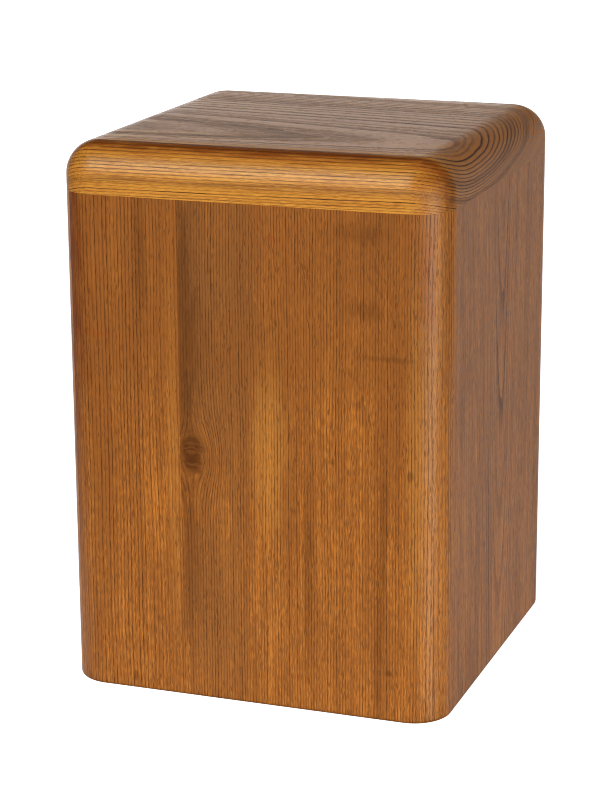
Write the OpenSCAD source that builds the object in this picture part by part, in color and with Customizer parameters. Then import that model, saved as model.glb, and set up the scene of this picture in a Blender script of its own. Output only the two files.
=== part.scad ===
// A small cremation urn in solid wood: a closed box with a thick, rounded top
// board, four walls mitred at the corners and a base panel held by four screws.
// It is filled from below and stands on the rims of its walls.
// Millimetres, +Z up, origin at the middle of the underside, front towards -Y.

/* [Overall] */
// Width across the front
urn_w = 164; // [120:1:240]
// Depth from front to back
urn_d = 167; // [120:1:240]
// Height from the underside to the top face
urn_h = 230; // [120:1:320]

/* [Boards] */
// Thickness of the top board
top_t = 20; // [15:0.5:30]
// Thickness of the four wall boards
wall_t = 19; // [17:0.5:25]
// Width of the narrow board at the left of the front wall
narrow_w = 53; // [30:0.5:54]

/* [Rounded edges] */
// Radius of the four upright corners
corner_r = 16; // [15:0.5:24]
// Radius of the round-over along the edge of the top board
top_edge_r = 14; // [4:0.5:14.5]
// Radius that softens the outer edge of the bottom rims
foot_edge_r = 1.5; // [0.5:0.25:3]

/* [Base panel] */
// Thickness of the base panel
panel_t = 12; // [8:0.5:16]
// How far the panel's underside lies above the bottom rims
panel_recess = 1; // [0.5:0.25:3]
// Thickness of the wall's rim beside the panel
rim_t = 9; // [8:0.5:10]
// Gap between the panel's edge and the rim
panel_gap = 0.3; // [0.1:0.05:0.8]

/* [Screws] */
// Diameter of the shank
screw_d = 3; // [2.5:0.1:4]
// Diameter of the countersunk head
head_d = 6; // [5:0.1:6.4]
// Thickness of the head's straight edge above its cone
head_edge = 0.3; // [0.2:0.1:0.6]
// Length from the head's face to the point
screw_len = 25; // [18:0.5:35]
// Length of the tapered point
point_len = 4; // [2:0.5:6]
// How far the head's face lies inside the panel
head_sink = 0.4; // [0.1:0.1:1]
// Length of each arm-to-arm slot in the head's cross recess
cross_l = 3.4; // [2:0.1:4]
// Width of those slots
cross_w = 0.9; // [0.5:0.1:1.2]
// Depth of those slots
cross_depth = 1.2; // [0.6:0.1:1.4]
// Gap round the head and the shank
screw_gap = 0.1; // [0.05:0.05:0.3]

/* [Hidden] */

$fn = 64;

// Height of the walls, which the top board sits on
wall_h = urn_h - top_t;
// Least straight stretch left beside a round-over
min_land = 1;
// The round-over in use, which stays inside the board and the upright corner
top_r = min(top_edge_r, top_t - min_land, corner_r - min_land);
// Height of the rebate that takes the panel
rebate_h = panel_recess + panel_t;
// Overall sizes of the rebate
rebate_w = urn_w - 2 * rim_t;
rebate_d = urn_d - 2 * rim_t;
// Distance of a screw from the outer face: the middle of the rebate's shoulder
screw_in = (rim_t + wall_t) / 2;
// Height of the screw heads' faces
head_z = panel_recess + head_sink;
// Where the glue line of the front wall lies, from the middle
glue_x = narrow_w - urn_w / 2;
// How far a cutter runs past the wood that it cuts
cut = 5;

// ---- Rounded blocks ----

// A strip with its outer bottom corner rounded
module rounded_strip(reach, r) {
    square([reach - r, r]);
    translate([reach - r, r])
        intersection() {
            circle(r = r);
            translate([0, -r]) square([r, r]);
        }
}

// Half of a block's upright section, from its middle out to its face
module half_section(reach, tall, foot_r, crown_r) {
    translate([0, foot_r]) square([reach, tall - foot_r - crown_r]);
    if (foot_r > 0)
        rounded_strip(reach, foot_r);
    if (crown_r > 0)
        translate([0, tall]) mirror([0, 1]) rounded_strip(reach, crown_r);
}

// A slab of that section, from face to face
module slab(across, long, tall, foot_r, crown_r) {
    rotate([90, 0, 0])
        linear_extrude(height = long, center = true)
            for (side = [0, 1])
                mirror([side, 0]) half_section(across / 2, tall, foot_r, crown_r);
}

// A block over the whole plan: two crossed slabs, and a turned quarter in each corner
module rounded_block(tall, foot_r, crown_r) {
    slab(urn_w, urn_d - 2 * corner_r, tall, foot_r, crown_r);
    rotate([0, 0, 90]) slab(urn_d, urn_w - 2 * corner_r, tall, foot_r, crown_r);
    for (c = [[1, 1, 0], [-1, 1, 90], [-1, -1, 180], [1, -1, 270]])
        translate([c[0] * (urn_w / 2 - corner_r), c[1] * (urn_d / 2 - corner_r), 0])
            rotate([0, 0, c[2]])
                rotate_extrude(angle = 90) half_section(corner_r, tall, foot_r, crown_r);
}

// ---- Screws ----

// A countersunk screw standing on its head, grown all round by gap
module screw_form(gap, below) {
    head_r = head_d / 2;
    shank_r = screw_d / 2;
    cone_end = head_edge + head_r - shank_r;
    rotate_extrude()
        polygon([
            [0, -below],
            [head_r + gap, -below],
            [head_r + gap, head_edge],
            [shank_r + gap, cone_end],
            [shank_r + gap, screw_len - point_len],
            [0, screw_len + gap]
        ]);
}

// Puts its children at the screw of one side: 0 front, 1 right, 2 back, 3 left
module at_screw(side) {
    reach = (side % 2 == 0 ? urn_d : urn_w) / 2 - screw_in;
    rotate([0, 0, 90 * side]) translate([0, -reach, head_z]) children();
}

module screw(side) {
    color("goldenrod")
        at_screw(side)
            difference() {
                screw_form(0, 0);
                for (turn = [0, 90])
                    rotate([0, 0, turn])
                        translate([-cross_l / 2, -cross_w / 2, -cut])
                            cube([cross_l, cross_w, cut + cross_depth]);
            }
}

// ---- Boards ----

module top_board() {
    color("#7c4a33") translate([0, 0, wall_h]) rounded_block(top_t, 0, top_r);
}

// The space of one wall: a prism that ends in a mitre at both corners
module mitred_prism(side) {
    along = (side % 2 == 0 ? urn_w : urn_d) / 2;
    reach = (side % 2 == 0 ? urn_d : urn_w) / 2;
    rotate([0, 0, 90 * side])
        linear_extrude(height = wall_h)
            polygon([
                [-along, -reach],
                [along, -reach],
                [along - wall_t, wall_t - reach],
                [wall_t - along, wall_t - reach]
            ]);
}

// One wall, rebated below for the panel and drilled for its screw
module wall(side) {
    difference() {
        intersection() {
            rounded_block(wall_h, foot_edge_r, 0);
            mitred_prism(side);
        }
        translate([-rebate_w / 2, -rebate_d / 2, -cut]) cube([rebate_w, rebate_d, cut + rebate_h]);
        at_screw(side) screw_form(screw_gap, cut);
    }
}

// The part of the front wall between two distances from the middle
module front_wall_between(from_x, to_x) {
    intersection() {
        wall(0);
        translate([from_x, -urn_d, -cut]) cube([to_x - from_x, 2 * urn_d, wall_h + 2 * cut]);
    }
}

module front_wall_wide_board() {
    color("#9c5a22") front_wall_between(glue_x, urn_w);
}

module front_wall_narrow_board() {
    color("#a8632a") front_wall_between(-urn_w, glue_x);
}

module right_wall() {
    color("#83492a") wall(1);
}

module back_wall() {
    color("#94551f") wall(2);
}

module left_wall() {
    color("#8a4d24") wall(3);
}

module base_panel() {
    w = rebate_w - 2 * panel_gap;
    d = rebate_d - 2 * panel_gap;
    color("#a06a3a")
        difference() {
            translate([-w / 2, -d / 2, panel_recess]) cube([w, d, panel_t]);
            for (side = [0 : 3])
                at_screw(side) screw_form(screw_gap, cut);
        }
}

top_board();
front_wall_wide_board();
front_wall_narrow_board();
right_wall();
back_wall();
left_wall();
base_panel();
screw(0);  // front_screw
screw(1);  // right_screw
screw(2);  // back_screw
screw(3);  // left_screw
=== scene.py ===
# %% [markdown]
# # A stained hardwood urn
#
# This lesson dresses a small cremation urn: a closed wooden box with a thick,
# rounded top board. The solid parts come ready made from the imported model, at
# their real size. What is left for Blender is what the eye reads first: the
# grain of each board, the stain in its pores, the lacquer over it, and the light.
#
# Everything is in metres, +Z is up and the front of the urn faces -Y.

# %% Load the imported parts
import math

import bpy
from mathutils import Matrix, Vector


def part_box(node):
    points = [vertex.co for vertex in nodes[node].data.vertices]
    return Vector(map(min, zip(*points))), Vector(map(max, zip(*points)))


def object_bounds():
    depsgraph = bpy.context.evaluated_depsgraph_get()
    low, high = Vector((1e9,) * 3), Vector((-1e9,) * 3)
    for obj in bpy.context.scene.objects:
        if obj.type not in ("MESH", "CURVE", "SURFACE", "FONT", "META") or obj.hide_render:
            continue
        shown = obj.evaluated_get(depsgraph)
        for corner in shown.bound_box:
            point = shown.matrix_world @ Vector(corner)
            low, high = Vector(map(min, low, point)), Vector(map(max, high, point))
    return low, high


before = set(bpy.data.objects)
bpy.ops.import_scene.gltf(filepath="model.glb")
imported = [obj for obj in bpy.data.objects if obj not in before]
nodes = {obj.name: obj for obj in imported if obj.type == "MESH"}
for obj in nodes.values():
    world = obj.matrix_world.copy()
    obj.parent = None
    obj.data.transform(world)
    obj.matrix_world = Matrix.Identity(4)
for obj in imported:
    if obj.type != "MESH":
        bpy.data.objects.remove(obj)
cad_low, cad_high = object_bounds()
centre = (cad_low + cad_high) / 2
height = cad_high.z - cad_low.z
print(f"{len(nodes)} parts, {height * 1000:.0f} mm tall")

# %% [markdown]
# ## The camera
#
# The urn is looked at from a little to its right and a little above, from about
# a metre away with a long lens, which keeps its upright edges almost parallel.
# The camera is set by where it stands on a sphere round the urn. A mathutils
# matrix made of its own three axes is the plainest way to aim it exactly.

# %% Stand the camera in front of the urn
MM_PER_M = 1000.0
SENSOR = 0.036
FOCAL_PER_LONG_SIDE = 3.0398  # focal length as a share of the picture's long side
CAMERA_TURN = math.radians(19.96)
CAMERA_RISE = math.radians(15.68)
CAMERA_ROLL = math.radians(-0.36)
CAMERA_DISTANCE = 1.061
AIM_RIGHT = -0.00695
AIM_UP = -0.00784
CLIP_NEAR = 0.05
CLIP_FAR = 50


def aim_camera():
    """Makes the camera on its sphere round the urn's middle."""
    back = Vector((
        math.sin(CAMERA_TURN) * math.cos(CAMERA_RISE),
        -math.cos(CAMERA_TURN) * math.cos(CAMERA_RISE),
        math.sin(CAMERA_RISE),
    ))
    level = (-back).cross(Vector((0, 0, 1))).normalized()
    upward = level.cross(-back)
    right = level * math.cos(CAMERA_ROLL) + upward * math.sin(CAMERA_ROLL)
    up = upward * math.cos(CAMERA_ROLL) - level * math.sin(CAMERA_ROLL)
    place = centre + level * AIM_RIGHT + upward * AIM_UP + back * CAMERA_DISTANCE
    data = bpy.data.cameras.new("camera")
    data.sensor_width = SENSOR * MM_PER_M
    data.lens = SENSOR * MM_PER_M * FOCAL_PER_LONG_SIDE
    data.clip_start = CLIP_NEAR
    data.clip_end = CLIP_FAR
    camera = bpy.data.objects.new("camera", data)
    turn = Matrix((right, up, back)).transposed()
    camera.matrix_world = Matrix.Translation(place) @ turn.to_4x4()
    bpy.context.scene.collection.objects.link(camera)
    bpy.context.scene.camera = camera
    return camera


camera = aim_camera()
print("camera at", [round(v, 3) for v in camera.matrix_world.translation])

# %% [markdown]
# ## Shader sums in plain Python
#
# A wood shader is mostly arithmetic: distances from the heart of the tree,
# remainders that make rings, masks that are multiplied and subtracted. Placing
# Math nodes by hand hides that. This class wraps one socket, and every sign
# used on it adds the Math node that does the work, so `1 - mask` can be written
# as it is read. All other nodes come from its method `node`.


# %% A socket that takes part in sums
class Value:
    """An output socket of a node tree, with Python's signs for Math nodes."""

    def __init__(self, tree, socket=None):
        self.tree = tree
        self.socket = socket

    def node(self, kind, settings=None, sockets=None, output=0):
        """Adds a node: its settings first, then the values or links of its sockets."""
        made = self.tree.nodes.new("ShaderNode" + kind)
        for name, setting in (settings or {}).items():
            setattr(made, name, setting)
        for name, value in (sockets or {}).items():
            if isinstance(value, Value):
                self.tree.links.new(value.socket, made.inputs[name])
            else:
                made.inputs[name].default_value = value
        return Value(self.tree, made.outputs[output] if made.outputs else None)

    def also(self, output):
        """Another output of the same node."""
        return Value(self.tree, self.socket.node.outputs[output])

    def maths(self, operation, *terms):
        return self.node("Math", {"operation": operation}, dict(enumerate(terms)))

    def __add__(self, other):
        return self.maths("ADD", self, other)

    def __radd__(self, other):
        return self.maths("ADD", other, self)

    def __sub__(self, other):
        return self.maths("SUBTRACT", self, other)

    def __rsub__(self, other):
        return self.maths("SUBTRACT", other, self)

    def __mul__(self, other):
        return self.maths("MULTIPLY", self, other)

    def __rmul__(self, other):
        return self.maths("MULTIPLY", other, self)

    def __truediv__(self, other):
        return self.maths("DIVIDE", self, other)

    def __rtruediv__(self, other):
        return self.maths("DIVIDE", other, self)


# %% Shapes that masks are made of
def ramp(value, low, high):
    """Goes smoothly from 0 at low to 1 at high, or from 1 to 0 if low is the larger."""
    limits = {"Value": value, "From Min": low, "From Max": high}
    return value.node("MapRange", {"interpolation_type": "SMOOTHSTEP"}, limits)


def bell(value, width):
    """Is 1 where value is 0 and fades to nothing at about twice the width."""
    share = value / width
    return value.maths("EXPONENT", share * share * -1.0)


def greater(one, other):
    return one.maths("MAXIMUM", one, other)


def length(one, other):
    return one.maths("SQRT", one * one + other * other)


def combine(one, other, third):
    return one.node("CombineXYZ", {}, {0: one, 1: other, 2: third})


def blend(share, low, high):
    """A colour between low and high."""
    return share.node("Mix", {"data_type": "RGBA"}, {0: share, 6: low, 7: high}, 2)


def new_material(name):
    """An empty material and the value that its nodes are started from."""
    material = bpy.data.materials.new(name)
    material.use_nodes = True
    material.node_tree.nodes.clear()
    return material, Value(material.node_tree)


print("sums are ready")

# %% [markdown]
# ## How a board is cut from a tree
#
# A picture of wood wrapped round a box never meets itself at the edges. Real
# boards do, because their figure is the same growth rings cut by every face. So
# the colour here is a function of the place inside the board: how far it lies
# from the heart of the tree, which ran along the board a few centimetres away.
# Flat faces then show long arches, edges show stripes and ends show arcs, and
# all of them join round the rounded corners by themselves.
#
# A board is described by its grain direction, where the heart ran and how much
# it leaned, how wide the rings are, and its own knots, streaks and stains. All
# of these lengths are in millimetres, as a cabinet maker would give them.


# %% Places inside a board
SEED_DEEP = 1.7  # the seed shifts each direction by its own amount
SEED_ALONG = 0.6
STRAY_ACROSS = (24, 70, 1.0)  # mm across and along the grain, and fine detail
STRAY_DEEP = (30, 110, 0.0)
RAG = (2.5, 12)  # the ragged edge of a stain, mm across and along
OVAL_EDGE = (1.15, 0.3)  # where a stain starts and where it is full, as shares
PART_WIDTH = 1.5  # how far round a knot the grain is pushed, in knot sizes


class Board:
    """The coordinates of one board, in millimetres, along and across its grain."""

    def __init__(self, name, grain, seed):
        self.material, self.start = new_material(name)
        self.seed = seed
        place = self.start.node("TexCoord", output=3)
        place = self.start.node(
            "VectorMath", {"operation": "SCALE"}, {0: place, "Scale": MM_PER_M})
        x, y, z = [self.start.node("SeparateXYZ", {}, {0: place}, i) for i in range(3)]
        if grain == "sideways":
            self.along, self.across, self.depth = x, y, z
        if grain == "upright, facing front or back":
            self.along, self.across, self.depth = z, x, y
        if grain == "upright, facing a side":
            self.along, self.across, self.depth = z, y, x
        self.u = self.across
        self.v = self.depth

    def grid(self, across, along):
        """The place counted in cells of this size, shifted by the board's seed."""
        one = self.u / across + self.seed
        other = self.v / across + self.seed * SEED_DEEP
        return combine(one, other, self.along / along + self.seed * SEED_ALONG)

    def noise(self, across, along, detail=2.0):
        """Cloudy noise about 0, drawn out along the grain."""
        cloud = self.start.node("TexNoise", {}, {
            "Vector": self.grid(across, along), "Scale": 1.0, "Detail": detail})
        return cloud - 0.5

    def wander(self, size):
        """No tree grows straight: the cells stray by a millimetre or so."""
        self.u, self.v = (self.u + self.noise(*STRAY_ACROSS) * size,
                          self.v + self.noise(*STRAY_DEEP) * size)

    def spot(self, across, along, wide, tall, lean=0.0, ragged=1.1):
        """1 inside a soft-edged oval, with an edge that follows the grain."""
        rise = self.along - along
        aside = (self.across - across - rise * lean) / wide
        rim = length(aside, rise / tall) + self.noise(*RAG) * ragged
        return ramp(rim, *OVAL_EDGE)

    def part_round(self, across, along, wide, tall, push):
        """The grain parts round a knot, as water does round a stone."""
        side = (self.across - across) / wide
        near = length(side, (self.along - along) / tall)
        self.u = self.u - bell(near, PART_WIDTH) * side * push
        return near


print("a board knows its grain")

# %% [markdown]
# ## Growth rings, pores and fibre
#
# Each ring starts with a band of wide pores, which drinks the stain and goes
# dark, and ends in hard, golden late wood. The step from one year's hard wood to
# the next year's pores is sharp; the fade inside the year is slow. The ring's
# number seeds a random darkness, because no two years were alike. Pores are
# cells of a Voronoi texture pulled out along the grain, so they are short dashes
# on a face and dots on an end.


# %% Rings and pores
NOISES = {  # mm across and along the grain, and fine detail
    "uneven": (11, 190, 1.0),
    "stray": (5, 30),
    "crowd": (6, 45),
    "fibre": (0.32, 3.6, 2.0),
    "streaks": (1.6, 70, 2.0),
    "bands": (9, 240, 1.5),
    "clouds": (20, 50, 2.0),
}
TIGHT_UNIT = 0.0001
EARLY_WOOD = (0.5, 0.08)  # the part of a year where its pores end, and are all there
DARK_YEAR_STRAY = 1.6
DARK_YEAR_EARLY = 0.5
CROWD_EARLY = 0.8  # how pores crowd: in early wood, by chance, and everywhere
CROWD_CHANCE = 0.6
CROWD_ALL = 0.25
PORE_CELL = (0.42, 3.0)  # mm across and along the grain
PORE_RIM = (0.62, 0.32)
PORE_LOT = (0.0, 0.2)
BREAK_ACROSS = 0.4
BREAK_STEP = (-0.12, 0.12)
MOST_SOLID = 0.75


def grow(board, heart, lean, ring, tight=0.0, uneven=1.2, dark_years=(),
         even=0.3, solid=0.3, dash=4.5, squash=None, skew=0.0):
    """Adds the rings and pores. The heart leans along the board; the years are closer
    together, by tight, far from it, and a squashed trunk is wider to one side."""
    off = board.u - heart[0] - board.along * lean[0]
    deep = board.v - heart[1] - board.along * lean[1]
    if squash:
        off = off + deep * skew
        off = greater(off * -squash[0], off * squash[1])
    board.radius = length(off, deep)
    count = board.radius / ring + board.noise(*NOISES["uneven"]) * uneven
    if tight:
        count = count + board.radius * board.radius * tight * TIGHT_UNIT
    year = count.maths("FLOOR", count)
    season = count - year
    luck = board.start.node("TexWhiteNoise", {"noise_dimensions": "1D"},
                            {"W": year + board.seed})
    board.early = ramp(season, *EARLY_WOOD) * (luck * (1 - even) + even)
    porous = None
    for radius, width, strength in dark_years:
        stray = board.radius - radius + board.noise(*NOISES["stray"]) * width * DARK_YEAR_STRAY
        band = bell(stray, width) * strength
        porous = band if porous is None else greater(porous, band)
    crowd = board.early * CROWD_EARLY + board.noise(*NOISES["crowd"]) * CROWD_CHANCE + CROWD_ALL
    if porous is not None:
        board.early = board.early * (1 - porous) + porous * DARK_YEAR_EARLY
        crowd = crowd + porous
    middle = board.start.node("TexVoronoi", {}, {
        "Vector": board.grid(*PORE_CELL), "Scale": 1.0})
    lot = board.start.node("SeparateColor", {}, {0: middle.also(1)})
    board.pores = ramp(middle, *PORE_RIM) * ramp(crowd - lot, *PORE_LOT)
    dashes = ramp(board.noise(BREAK_ACROSS, dash, 1.0), *BREAK_STEP)
    board.broken = dashes * (MOST_SOLID - solid) + solid
    board.fibre = board.noise(*NOISES["fibre"])
    board.streaks = board.noise(*NOISES["streaks"])
    board.bands = board.noise(*NOISES["bands"])
    board.clouds = board.noise(*NOISES["clouds"])


print(len(NOISES), "kinds of cloud in the grain")

# %% [markdown]
# ## Stain, knots and lacquer
#
# The wood was stained a golden brown and then lacquered. Stain could be one flat
# colour, but real wood takes it unevenly: hard late wood stays golden, soft wood
# goes brown and open pores go nearly black. So the colour runs from brown to gold
# with the board's own noise, single stains are laid over it as soft ovals, and
# the pores and early wood come last. A few of the ovals are not stain but painted
# shade and a painted highlight. The lacquer is the smooth gloss of the
# shader, a little duller over the pores, with a bump that dips into them.

# %% Colours of the stained wood and of its painted shade and highlight, in linear red, green, blue and alpha
GOLD = (0.80, 0.275, 0.042, 1)
BROWN = (0.40, 0.128, 0.024, 1)
PALE_GOLD = (1.0, 0.44, 0.062, 1)
TAN = (0.62, 0.21, 0.031, 1)
PAINTED_SHADE = (0.27, 0.058, 0.010, 1)
KNOT = (0.25, 0.082, 0.017, 1)
DARK = (0.10, 0.027, 0.005, 1)
END_WOOD = (0.56, 0.185, 0.033, 1)
OLIVE = (0.33, 0.125, 0.034, 1)
RED = (0.45, 0.110, 0.018, 1)
# LIGHT is a paler wood, and also the painted highlight on the front's right-hand corner
LIGHT = (0.86, 0.36, 0.065, 1)
TINTS = {
    "dark": DARK, "painted_shade": PAINTED_SHADE, "olive": OLIVE,
    "red": RED, "light": LIGHT, "brown": BROWN,
}
BAND_SHARE = 0.7  # how much each noise decides between brown and gold
STREAK_SHARE = 0.8
FIBRE_SHARE = 1.7
CLOUD_SHARE = 0.6
WOOD_STEP = (-0.5, 0.5)
PORE_STAIN = 0.4


def stained(board, stains_and_painted_light=(), tone=0.0, contrast=1.0, wood=(BROWN, GOLD)):
    """The board's colour under its lacquer, from its rings, streaks and stains, and from ovals
    of painted shade and painted highlight.
    """
    light = board.bands * BAND_SHARE + board.streaks * STREAK_SHARE
    light = light + board.fibre * FIBRE_SHARE + board.clouds * CLOUD_SHARE
    colour = blend(ramp(light + tone, *WOOD_STEP), *wood)
    # the ovals hold real stains and also painted shade and a painted highlight
    for tint, strength, across, along, wide, tall, lean in stains_and_painted_light:
        mask = board.spot(across, along, wide, tall, lean) * strength
        colour = blend(mask, colour, TINTS[tint])
    board.lines = board.early * board.broken * contrast
    return blend(greater(board.lines, board.pores * PORE_STAIN * contrast), colour, DARK)


KNOT_RAG = (2.4, 3.4)  # mm across and along
KNOT_RAGGED = 1.5
SWIRL_SCALES = (1.6, 0.3, 0.22)  # round the knot, across and along
SWIRL_DETAIL = 3.0
SWIRL_TWIST = 1.2
SWIRL_STEP = (0.38, 0.66)
SMOKE_EDGE = (2.1, 0.5)  # in knot sizes, from nothing to full
SMOKE = 0.5
KNOT_EDGE = (1.25, 0.35)
KNOT_STAIN = 0.85


def knotted(board, colour, near):
    """A knot: a branch cut across, all stain and swirls, with a smoky rim."""
    ragged = near + board.noise(*KNOT_RAG) * KNOT_RAGGED
    round_it, aside, upward = SWIRL_SCALES
    place = combine(near * round_it, board.u * aside, board.along * upward)
    swirl = board.start.node("TexNoise", {}, {
        "Vector": place, "Scale": 1.0, "Detail": SWIRL_DETAIL, "Distortion": SWIRL_TWIST})
    wood = blend(ramp(swirl, *SWIRL_STEP), DARK, KNOT)
    colour = blend(ramp(ragged, *SMOKE_EDGE) * SMOKE, colour, KNOT)
    return blend(ramp(ragged, *KNOT_EDGE) * KNOT_STAIN, colour, wood)


TENTH_MM = 0.0001  # heights of the lacquer are in tenths of a millimetre
FIBRE_HEIGHT = 0.15
PORE_DIP = 0.5
EARLY_DIP = 0.2
CROWN_DROP = 5.0  # what sanding took off the top board towards its edge
SMOOTH = 0.2
FIBRE_ROUGH = 0.05
LACQUER_IOR = 1.5
WARM_GLOSS = (1.0, 0.88, 0.6, 1)


def lacquered(board, colour, crown=None, dull=0.06):
    """Finishes the board's material: a smooth clear lacquer that dips into the pores."""
    rough = greater(board.pores, board.lines) * dull + board.fibre * FIBRE_ROUGH + SMOOTH
    surface = board.fibre * FIBRE_HEIGHT - board.pores * PORE_DIP - board.early * EARLY_DIP
    if crown is not None:
        surface = surface - crown * CROWN_DROP
    relief = board.start.node(
        "Bump", {}, {"Strength": 1.0, "Distance": TENTH_MM, "Height": surface})
    shader = board.start.node("BsdfPrincipled", {}, {
        "Base Color": colour, "Roughness": rough, "Normal": relief,
        "IOR": LACQUER_IOR, "Specular Tint": WARM_GLOSS})
    board.start.node("OutputMaterial", {}, {"Surface": shader})
    return board.material


def dress(node, material):
    """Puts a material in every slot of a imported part."""
    for slot in nodes[node].material_slots:
        slot.material = material


print("wood is ready to be cut")

# %% [markdown]
# ## The front
#
# The front wall is two boards glued edge to edge, and the seam shows only because
# their figure and tone differ. One board with a line drawn on it would not do
# that, so each board is grown from its own tree. The hearts lie far to the left,
# which gives straight, narrow stripes. The wide board has a knot near the seam:
# the grain is parted round it first, so that the rings bend as well, and the
# dark and olive streaks above it are single stains. Both boards carry painted
# shade towards their tops, the narrow one also down its rounded left edge, and
# a pale stripe on the rounded right-hand corner is a painted highlight.

# %% The front, a wide board and a narrow one
UPRIGHT = "upright, facing front or back"
WALL_CONTRAST = 1.3
WIDE_STAINS_AND_PAINTED_LIGHT = [  # ink, strength, across, along, wide, tall, lean
    # painted shade: the board darker towards its top, fading downwards
    ("brown", 0.55, 20, 215, 150, 75, 0.0),
    ("olive", 0.75, -22, 165, 12, 75, 0.0),
    ("dark", 0.5, -27, 160, 7, 75, 0.0),
    ("dark", 0.42, -25, 60, 5, 50, 0.0),
    ("olive", 0.55, -5, 150, 14, 90, 0.02),
    ("olive", 0.45, -14, 40, 20, 60, 0.0),
    ("light", 0.35, 10, 112, 9, 50, 0.0),
    ("brown", 0.45, 20, 151, 75, 20, 0.0),
    ("dark", 0.25, -23, 150, 8, 24, 0.0),
    ("red", 0.8, 78, 192, 6, 40, 0.0),
    # painted highlight: a pale stripe down the rounded right-hand corner
    ("light", 0.3, 71, 105, 5, 85, 0.0),
    ("dark", 0.35, 26, 60, 2.5, 50, 0.0),
    ("dark", 0.35, 57, 60, 2.5, 80, 0.03),
    ("red", 0.5, 12, 197, 4, 2.0, 0.0),
    ("dark", 0.28, 50, 171, 9, 5.0, 0.0),
    ("dark", 0.3, 59, 152, 13, 1.6, 0.0),
    ("dark", 0.25, 48, 201, 15, 5.0, 0.0),
    ("dark", 0.4, 36, 108, 2.0, 1.5, 0.0),
    ("dark", 0.5, 69, 105, 1.6, 2.5, 0.0),
    ("dark", 0.6, 60, 21, 1.4, 1.6, 0.0),
]
wide = Board("front_wide_wood", UPRIGHT, 7.7)
knot = wide.part_round(-24, 105, 6.0, 8.5, 6.5)
wide.wander(2.0)
grow(wide, heart=(-210, -40), lean=(0.0, 0.0), ring=1.2)
wide_colour = stained(wide, WIDE_STAINS_AND_PAINTED_LIGHT, tone=-0.24, contrast=WALL_CONTRAST)
wide_colour = knotted(wide, wide_colour, knot)
dress("front_wall_wide_board", lacquered(wide, wide_colour))

NARROW_STAINS_AND_SHADE = [
    # painted shade: the board darker towards its top, fading downwards
    ("brown", 0.6, -50, 215, 150, 90, 0.0),
    ("dark", 0.35, -45, 185, 3.5, 40, 0.0),
    ("brown", 0.7, -57, 150, 30, 26, 0.0),
    # painted shade: the left rounded edge darkened over its whole height
    ("painted_shade", 1.0, -86, 190, 17, 160, 0.0),
    ("light", 0.2, -32, 100, 3.0, 90, 0.0),
    ("red", 0.5, -65, 153, 9, 2.0, 0.0),
    ("dark", 0.5, -51, 6, 1.5, 3.0, 0.0),
]
narrow = Board("front_narrow_wood", UPRIGHT, 12.3)
narrow.wander(2.0)
grow(narrow, heart=(-190, 30), lean=(0.0, 0.0), ring=1.25)
narrow_colour = stained(narrow, NARROW_STAINS_AND_SHADE, tone=-0.28, contrast=WALL_CONTRAST)
dress("front_wall_narrow_board", lacquered(narrow, narrow_colour))
print(len(WIDE_STAINS_AND_PAINTED_LIGHT) + len(NARROW_STAINS_AND_SHADE), "stains on the front")

# %% [markdown]
# ## The top board
#
# The top is one thick board whose grain runs from side to side. It shows arcs on
# its end, long lines on its front edge and a pointed figure on its face, and all
# three have to be the same rings. Three separate textures would never join, so
# one squashed, leaning trunk is cut by every face. The ends drink more stain, so
# they are browner, and the face was sanded to fall a little towards its edges.
# A dark band of painted shade runs along the top of its front round-over.

# %% The top board
CROWN_FROM_ACROSS = 61.0  # mm from the middle, where the flat starts to fall
CROWN_FROM_ALONG = 59.5
CROWN_WIDTH = 17.0
FRONT_EDGE = 67.5
END_FROM = 66.0
END_WIDTH = 13.0
END_STAIN = 0.6
END_LINES = 0.8
FEWER_PORES = (3.0, 10.0)
FEWER_PORES_SHARE = 0.6
TOP_CONTRAST = 1.6
TOP_DULL = 0.16
TOP_STAINS_AND_SHADE = [
    ("brown", 0.35, 6, 0, 66, 400, 0.0),
    # painted shade: a dark band along the top of the front round-over, where it turns up to the
    # flat
    ("painted_shade", 0.9, -72.5, 0, 5, 160, 0.0),
    ("red", 0.35, -77, 0, 3.0, 160, 0.0),
    ("red", 0.45, -78, 74, 9, 9, 0.0),
]
top = Board("top_wood", "sideways", 3.1)
edge = greater(top.across.maths("ABSOLUTE", top.across) - CROWN_FROM_ACROSS,
               top.along.maths("ABSOLUTE", top.along) - CROWN_FROM_ALONG)
crown = ramp(edge, 0.0, CROWN_WIDTH)
top.wander(0.4)
grow(top, heart=(-43.3, 244.9), lean=(-0.05, 0.035), ring=60.0, tight=115.0,
     uneven=0.45, even=0.35, solid=0.35, dash=26.0, squash=(0.54, 0.34), skew=0.29,
     dark_years=((15.2, 1.0, 1.6), (19.2, 0.3, 1.0), (31.5, 1.8, 0.55), (38.0, 1.2, 0.8)))
past_front = greater(top.across.maths("ABSOLUTE", top.across) - FRONT_EDGE, 0.0)
past_end = top.along.maths("ABSOLUTE", top.along) - END_FROM - past_front
ends = ramp(past_end, 0.0, END_WIDTH)
top.broken = greater(top.broken, ends)
top.pores = top.pores * (1 - ramp(past_front, *FEWER_PORES) * FEWER_PORES_SHARE)
top_colour = stained(top, TOP_STAINS_AND_SHADE, contrast=TOP_CONTRAST, wood=(TAN, PALE_GOLD))
end_colour_share = ends * END_STAIN
end_colour = blend(top.lines * END_LINES, END_WOOD, DARK)
top_colour = blend(end_colour_share, top_colour, end_colour)
dress("top_board", lacquered(top, top_colour, crown, TOP_DULL))
print("top board cut,", len(TOP_STAINS_AND_SHADE), "stains_and_painted_light")

# %% [markdown]
# ## The other walls and the bottom
#
# The right, left and back walls are single upright boards and the bottom is a
# panel between them. The same wood could be copied to all, but no two boards of
# a real box are alike. Each gets its own seed, heart and ring width: a heart
# close behind the face gives tall arches, and one far from it gives stripes.

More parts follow.
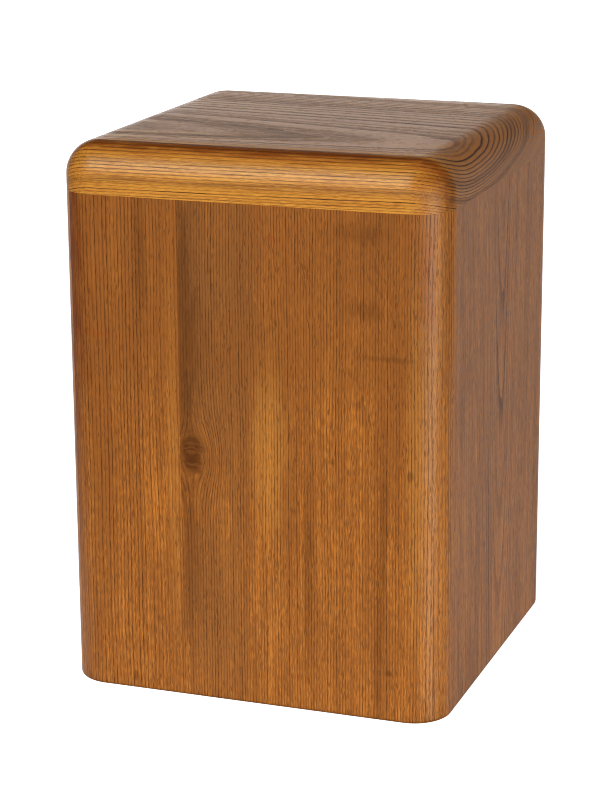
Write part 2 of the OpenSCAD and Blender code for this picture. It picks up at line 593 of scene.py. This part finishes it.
# %% The sides, the back and the bottom
right = Board("right_wood", "upright, facing a side", 21.9)
right.wander(1.5)
grow(right, heart=(2, 52), lean=(0.0, 0.03), ring=1.4, solid=0.3, dash=8.0)
dress("right_wall", lacquered(right, stained(right, tone=-0.06, contrast=WALL_CONTRAST)))
left = Board("left_wood", "upright, facing a side", 41.2)
left.wander(2.0)
grow(left, heart=(-12, -40), lean=(0.02, 0.04), ring=1.6)
dress("left_wall", lacquered(left, stained(left, contrast=WALL_CONTRAST)))
back = Board("back_wood", UPRIGHT, 33.4)
back.wander(2.0)
grow(back, heart=(-10, 30), lean=(0.03, -0.05), ring=1.7)
dress("back_wall", lacquered(back, stained(back, contrast=WALL_CONTRAST)))
base = Board("base_wood", "sideways", 55.0)
base.wander(2.0)
grow(base, heart=(10, -60), lean=(0.0, 0.03), ring=1.9)
dress("base_panel", lacquered(base, stained(base)))
print("seven boards cut")

# %% [markdown]
# ## The brass screws
#
# Four countersunk brass screws hold the bottom panel. Their heads were turned on
# a lathe, so fine scratches run in circles round each one. They could be cut as
# grooves, but they are too fine to be told apart, so a noise that depends on the
# distance from the screw's axis drives a slight bump and the roughness.

# %% Brass
BRASS = (0.78, 0.50, 0.17, 1)
TARNISHED = (0.38, 0.22, 0.08, 1)
TURNING_SCALES = (9.0, 0.5, 60.0)  # out from the axis, along it and across it
TURNING_DETAIL = 3.0
TURNING_BUMP = 0.3
TURNING_DEPTH = 0.00005
TURNING_ROUGH = 0.3
TARNISH_SCALE = 900.0
TARNISH_DETAIL = 4.0
TARNISH_STEP = (0.35, 0.75)
TARNISH_ROUGH = 0.2


def brass(node):
    """Turned brass with circular scratches round the screw's own axis."""
    material, start = new_material(node + "_brass")
    low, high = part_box(node)
    middle = (low + high) / 2
    place = start.node("TexCoord", output=3)
    x, y, z = [start.node("SeparateXYZ", {}, {0: place}, i) for i in range(3)]
    circle = length(x - middle.x, y - middle.y) * MM_PER_M
    outward, along, across = TURNING_SCALES
    rings = combine(circle * outward, z * MM_PER_M * along, x * across)
    turning = start.node("TexNoise", {}, {
        "Vector": rings, "Scale": 1.0, "Detail": TURNING_DETAIL})
    tarnish = start.node("TexNoise", {}, {
        "Vector": place, "Scale": TARNISH_SCALE, "Detail": TARNISH_DETAIL})
    colour = blend(ramp(tarnish, *TARNISH_STEP), BRASS, TARNISHED)
    relief = start.node("Bump", {}, {
        "Strength": TURNING_BUMP, "Distance": TURNING_DEPTH, "Height": turning})
    rough = turning * TURNING_ROUGH + tarnish * TARNISH_ROUGH
    shader = start.node("BsdfPrincipled", {}, {
        "Base Color": colour, "Metallic": 1.0, "Roughness": rough, "Normal": relief})
    start.node("OutputMaterial", {}, {"Surface": shader})
    return material


for node in nodes:
    if node.endswith("_screw"):
        dress(node, brass(node))
print(sum(node.endswith("_screw") for node in nodes), "brass screws")

# %% [markdown]
# ## The studio
#
# The lacquer is nearly a mirror at a low angle, so what stands round the urn
# matters as much as how bright it is. A picture of a real studio would do this,
# but a few soft lights are plainer and each can be moved by itself. The world
# paints them by direction, every one a patch with soft edges: a soft box up to
# the left, a white card low to the right, and pale walls and table edges that
# are much dimmer. The camera sees white paper instead.

# %% The soft lights round the urn
SOFT_LIGHTS = [  # degrees round from the front, rise, how wide, how high, brightness
    (-28, 40, 20, 21, 6.1),  # soft box, up to the left
    (65, -12, 22, 12, 3.4),  # white card, low to the right
    (37, 8, 51, 18, 1.4),  # pale wall in front
    (-160, -3, 30, 14, 1.15),  # pale wall behind
    (-78, -25, 36, 7, 0.6),  # edge of the table, left
    (-138, -41, 41, 35, 0.36),  # floor behind, left
    (135, -20, 27, 7, 0.5),  # edge of the table, behind right
]
HALF_TURN = 180.0
WHITE = (1, 1, 1, 1)


def soft_light(turn, rise, light):
    """A patch of light with soft edges, by its direction as seen from the urn."""
    light_turn, light_rise, wide, high, brightness = light
    aside = turn.maths("WRAP", turn - light_turn, HALF_TURN, -HALF_TURN)
    return bell(aside, wide) * bell(rise - light_rise, high) * brightness


def build_room():
    """Makes the world: soft lights for the urn, white paper for the camera."""
    world = bpy.data.worlds.new("studio")
    world.use_nodes = True
    world.node_tree.nodes.clear()
    start = Value(world.node_tree)
    way = start.node("TexCoord", output=0)
    x, y, z = [start.node("SeparateXYZ", {}, {0: way}, i) for i in range(3)]
    turn = start.maths("ARCTAN2", x, y * -1.0) * math.degrees(1)
    rise = start.maths("ARCSINE", z) * math.degrees(1)
    glow = soft_light(turn, rise, SOFT_LIGHTS[0])
    for light in SOFT_LIGHTS[1:]:
        glow = glow + soft_light(turn, rise, light)
    seen = start.node("LightPath")
    room = start.node("Background", {}, {"Color": WHITE, "Strength": glow})
    paper = start.node("Background", {}, {"Color": WHITE, "Strength": 1.0})
    both = start.node("MixShader", {}, {0: seen, 1: room, 2: paper})
    start.node("OutputWorld", {}, {"Surface": both})
    bpy.context.scene.world = world
    print(len(SOFT_LIGHTS), "soft lights round the urn")


SHARP_FILTER = 1.0
build_room()
bpy.context.scene.view_settings.view_transform = "Standard"
bpy.context.scene.cycles.filter_width = SHARP_FILTER

# %% [markdown]
# ## The lit table and the floor
#
# A white table close to the urn throws light up its sides, stronger low down. A
# glowing floor would do it, but it would also show as a white band in the
# lacquer. So two flat lamps lie on the floor, in front and to the right, and are
# hidden from reflections. The floor itself is plain, pale and evenly white.

# %% Lamps and floor
LAMP_LIFT = 0.0005
WATTS_PER_AREA = 4
FLOOR_HALF = 6.0
FLOOR_GREY = (0.8, 0.8, 0.8, 1)
FLOOR_ROUGH = 0.9


def glow_strip(name, low, high, brightness):
    """A flat lamp lying on the floor, shining up: the lit table close to the urn."""
    data = bpy.data.lights.new(name, "AREA")
    data.shape = "RECTANGLE"
    data.size = high[0] - low[0]
    data.size_y = high[1] - low[1]
    data.energy = brightness * WATTS_PER_AREA * data.size * data.size_y
    lamp = bpy.data.objects.new(name, data)
    spot = Vector(((low[0] + high[0]) / 2, (low[1] + high[1]) / 2, LAMP_LIFT))
    lamp.matrix_world = Matrix.Translation(spot) @ Matrix.Rotation(math.pi, 4, "X")
    lamp.visible_glossy = False
    lamp.visible_camera = False
    bpy.context.scene.collection.objects.link(lamp)


glow_strip("right_table", (0.084, -0.25), (0.264, 0.25), 0.22)
glow_strip("front_table", (-0.25, -0.265), (0.25, -0.085), 0.30)


def lay_floor():
    """A wide pale sheet under the urn, glowing enough to read as white."""
    half = FLOOR_HALF
    mesh = bpy.data.meshes.new("floor")
    corners = [(-half, -half, 0), (half, -half, 0), (half, half, 0), (-half, half, 0)]
    mesh.from_pydata(corners, [], [(0, 1, 2, 3)])
    floor = bpy.data.objects.new("floor", mesh)
    material, start = new_material("floor_paper")
    paper = start.node("BsdfPrincipled", {}, {
        "Base Color": FLOOR_GREY, "Roughness": FLOOR_ROUGH,
        "Emission Color": WHITE, "Emission Strength": 1.0})
    start.node("OutputMaterial", {}, {"Surface": paper})
    mesh.materials.append(material)
    floor.visible_glossy = False
    floor.visible_diffuse = False
    floor.visible_shadow = False
    bpy.context.scene.collection.objects.link(floor)


lay_floor()
print("two lamps and a floor")
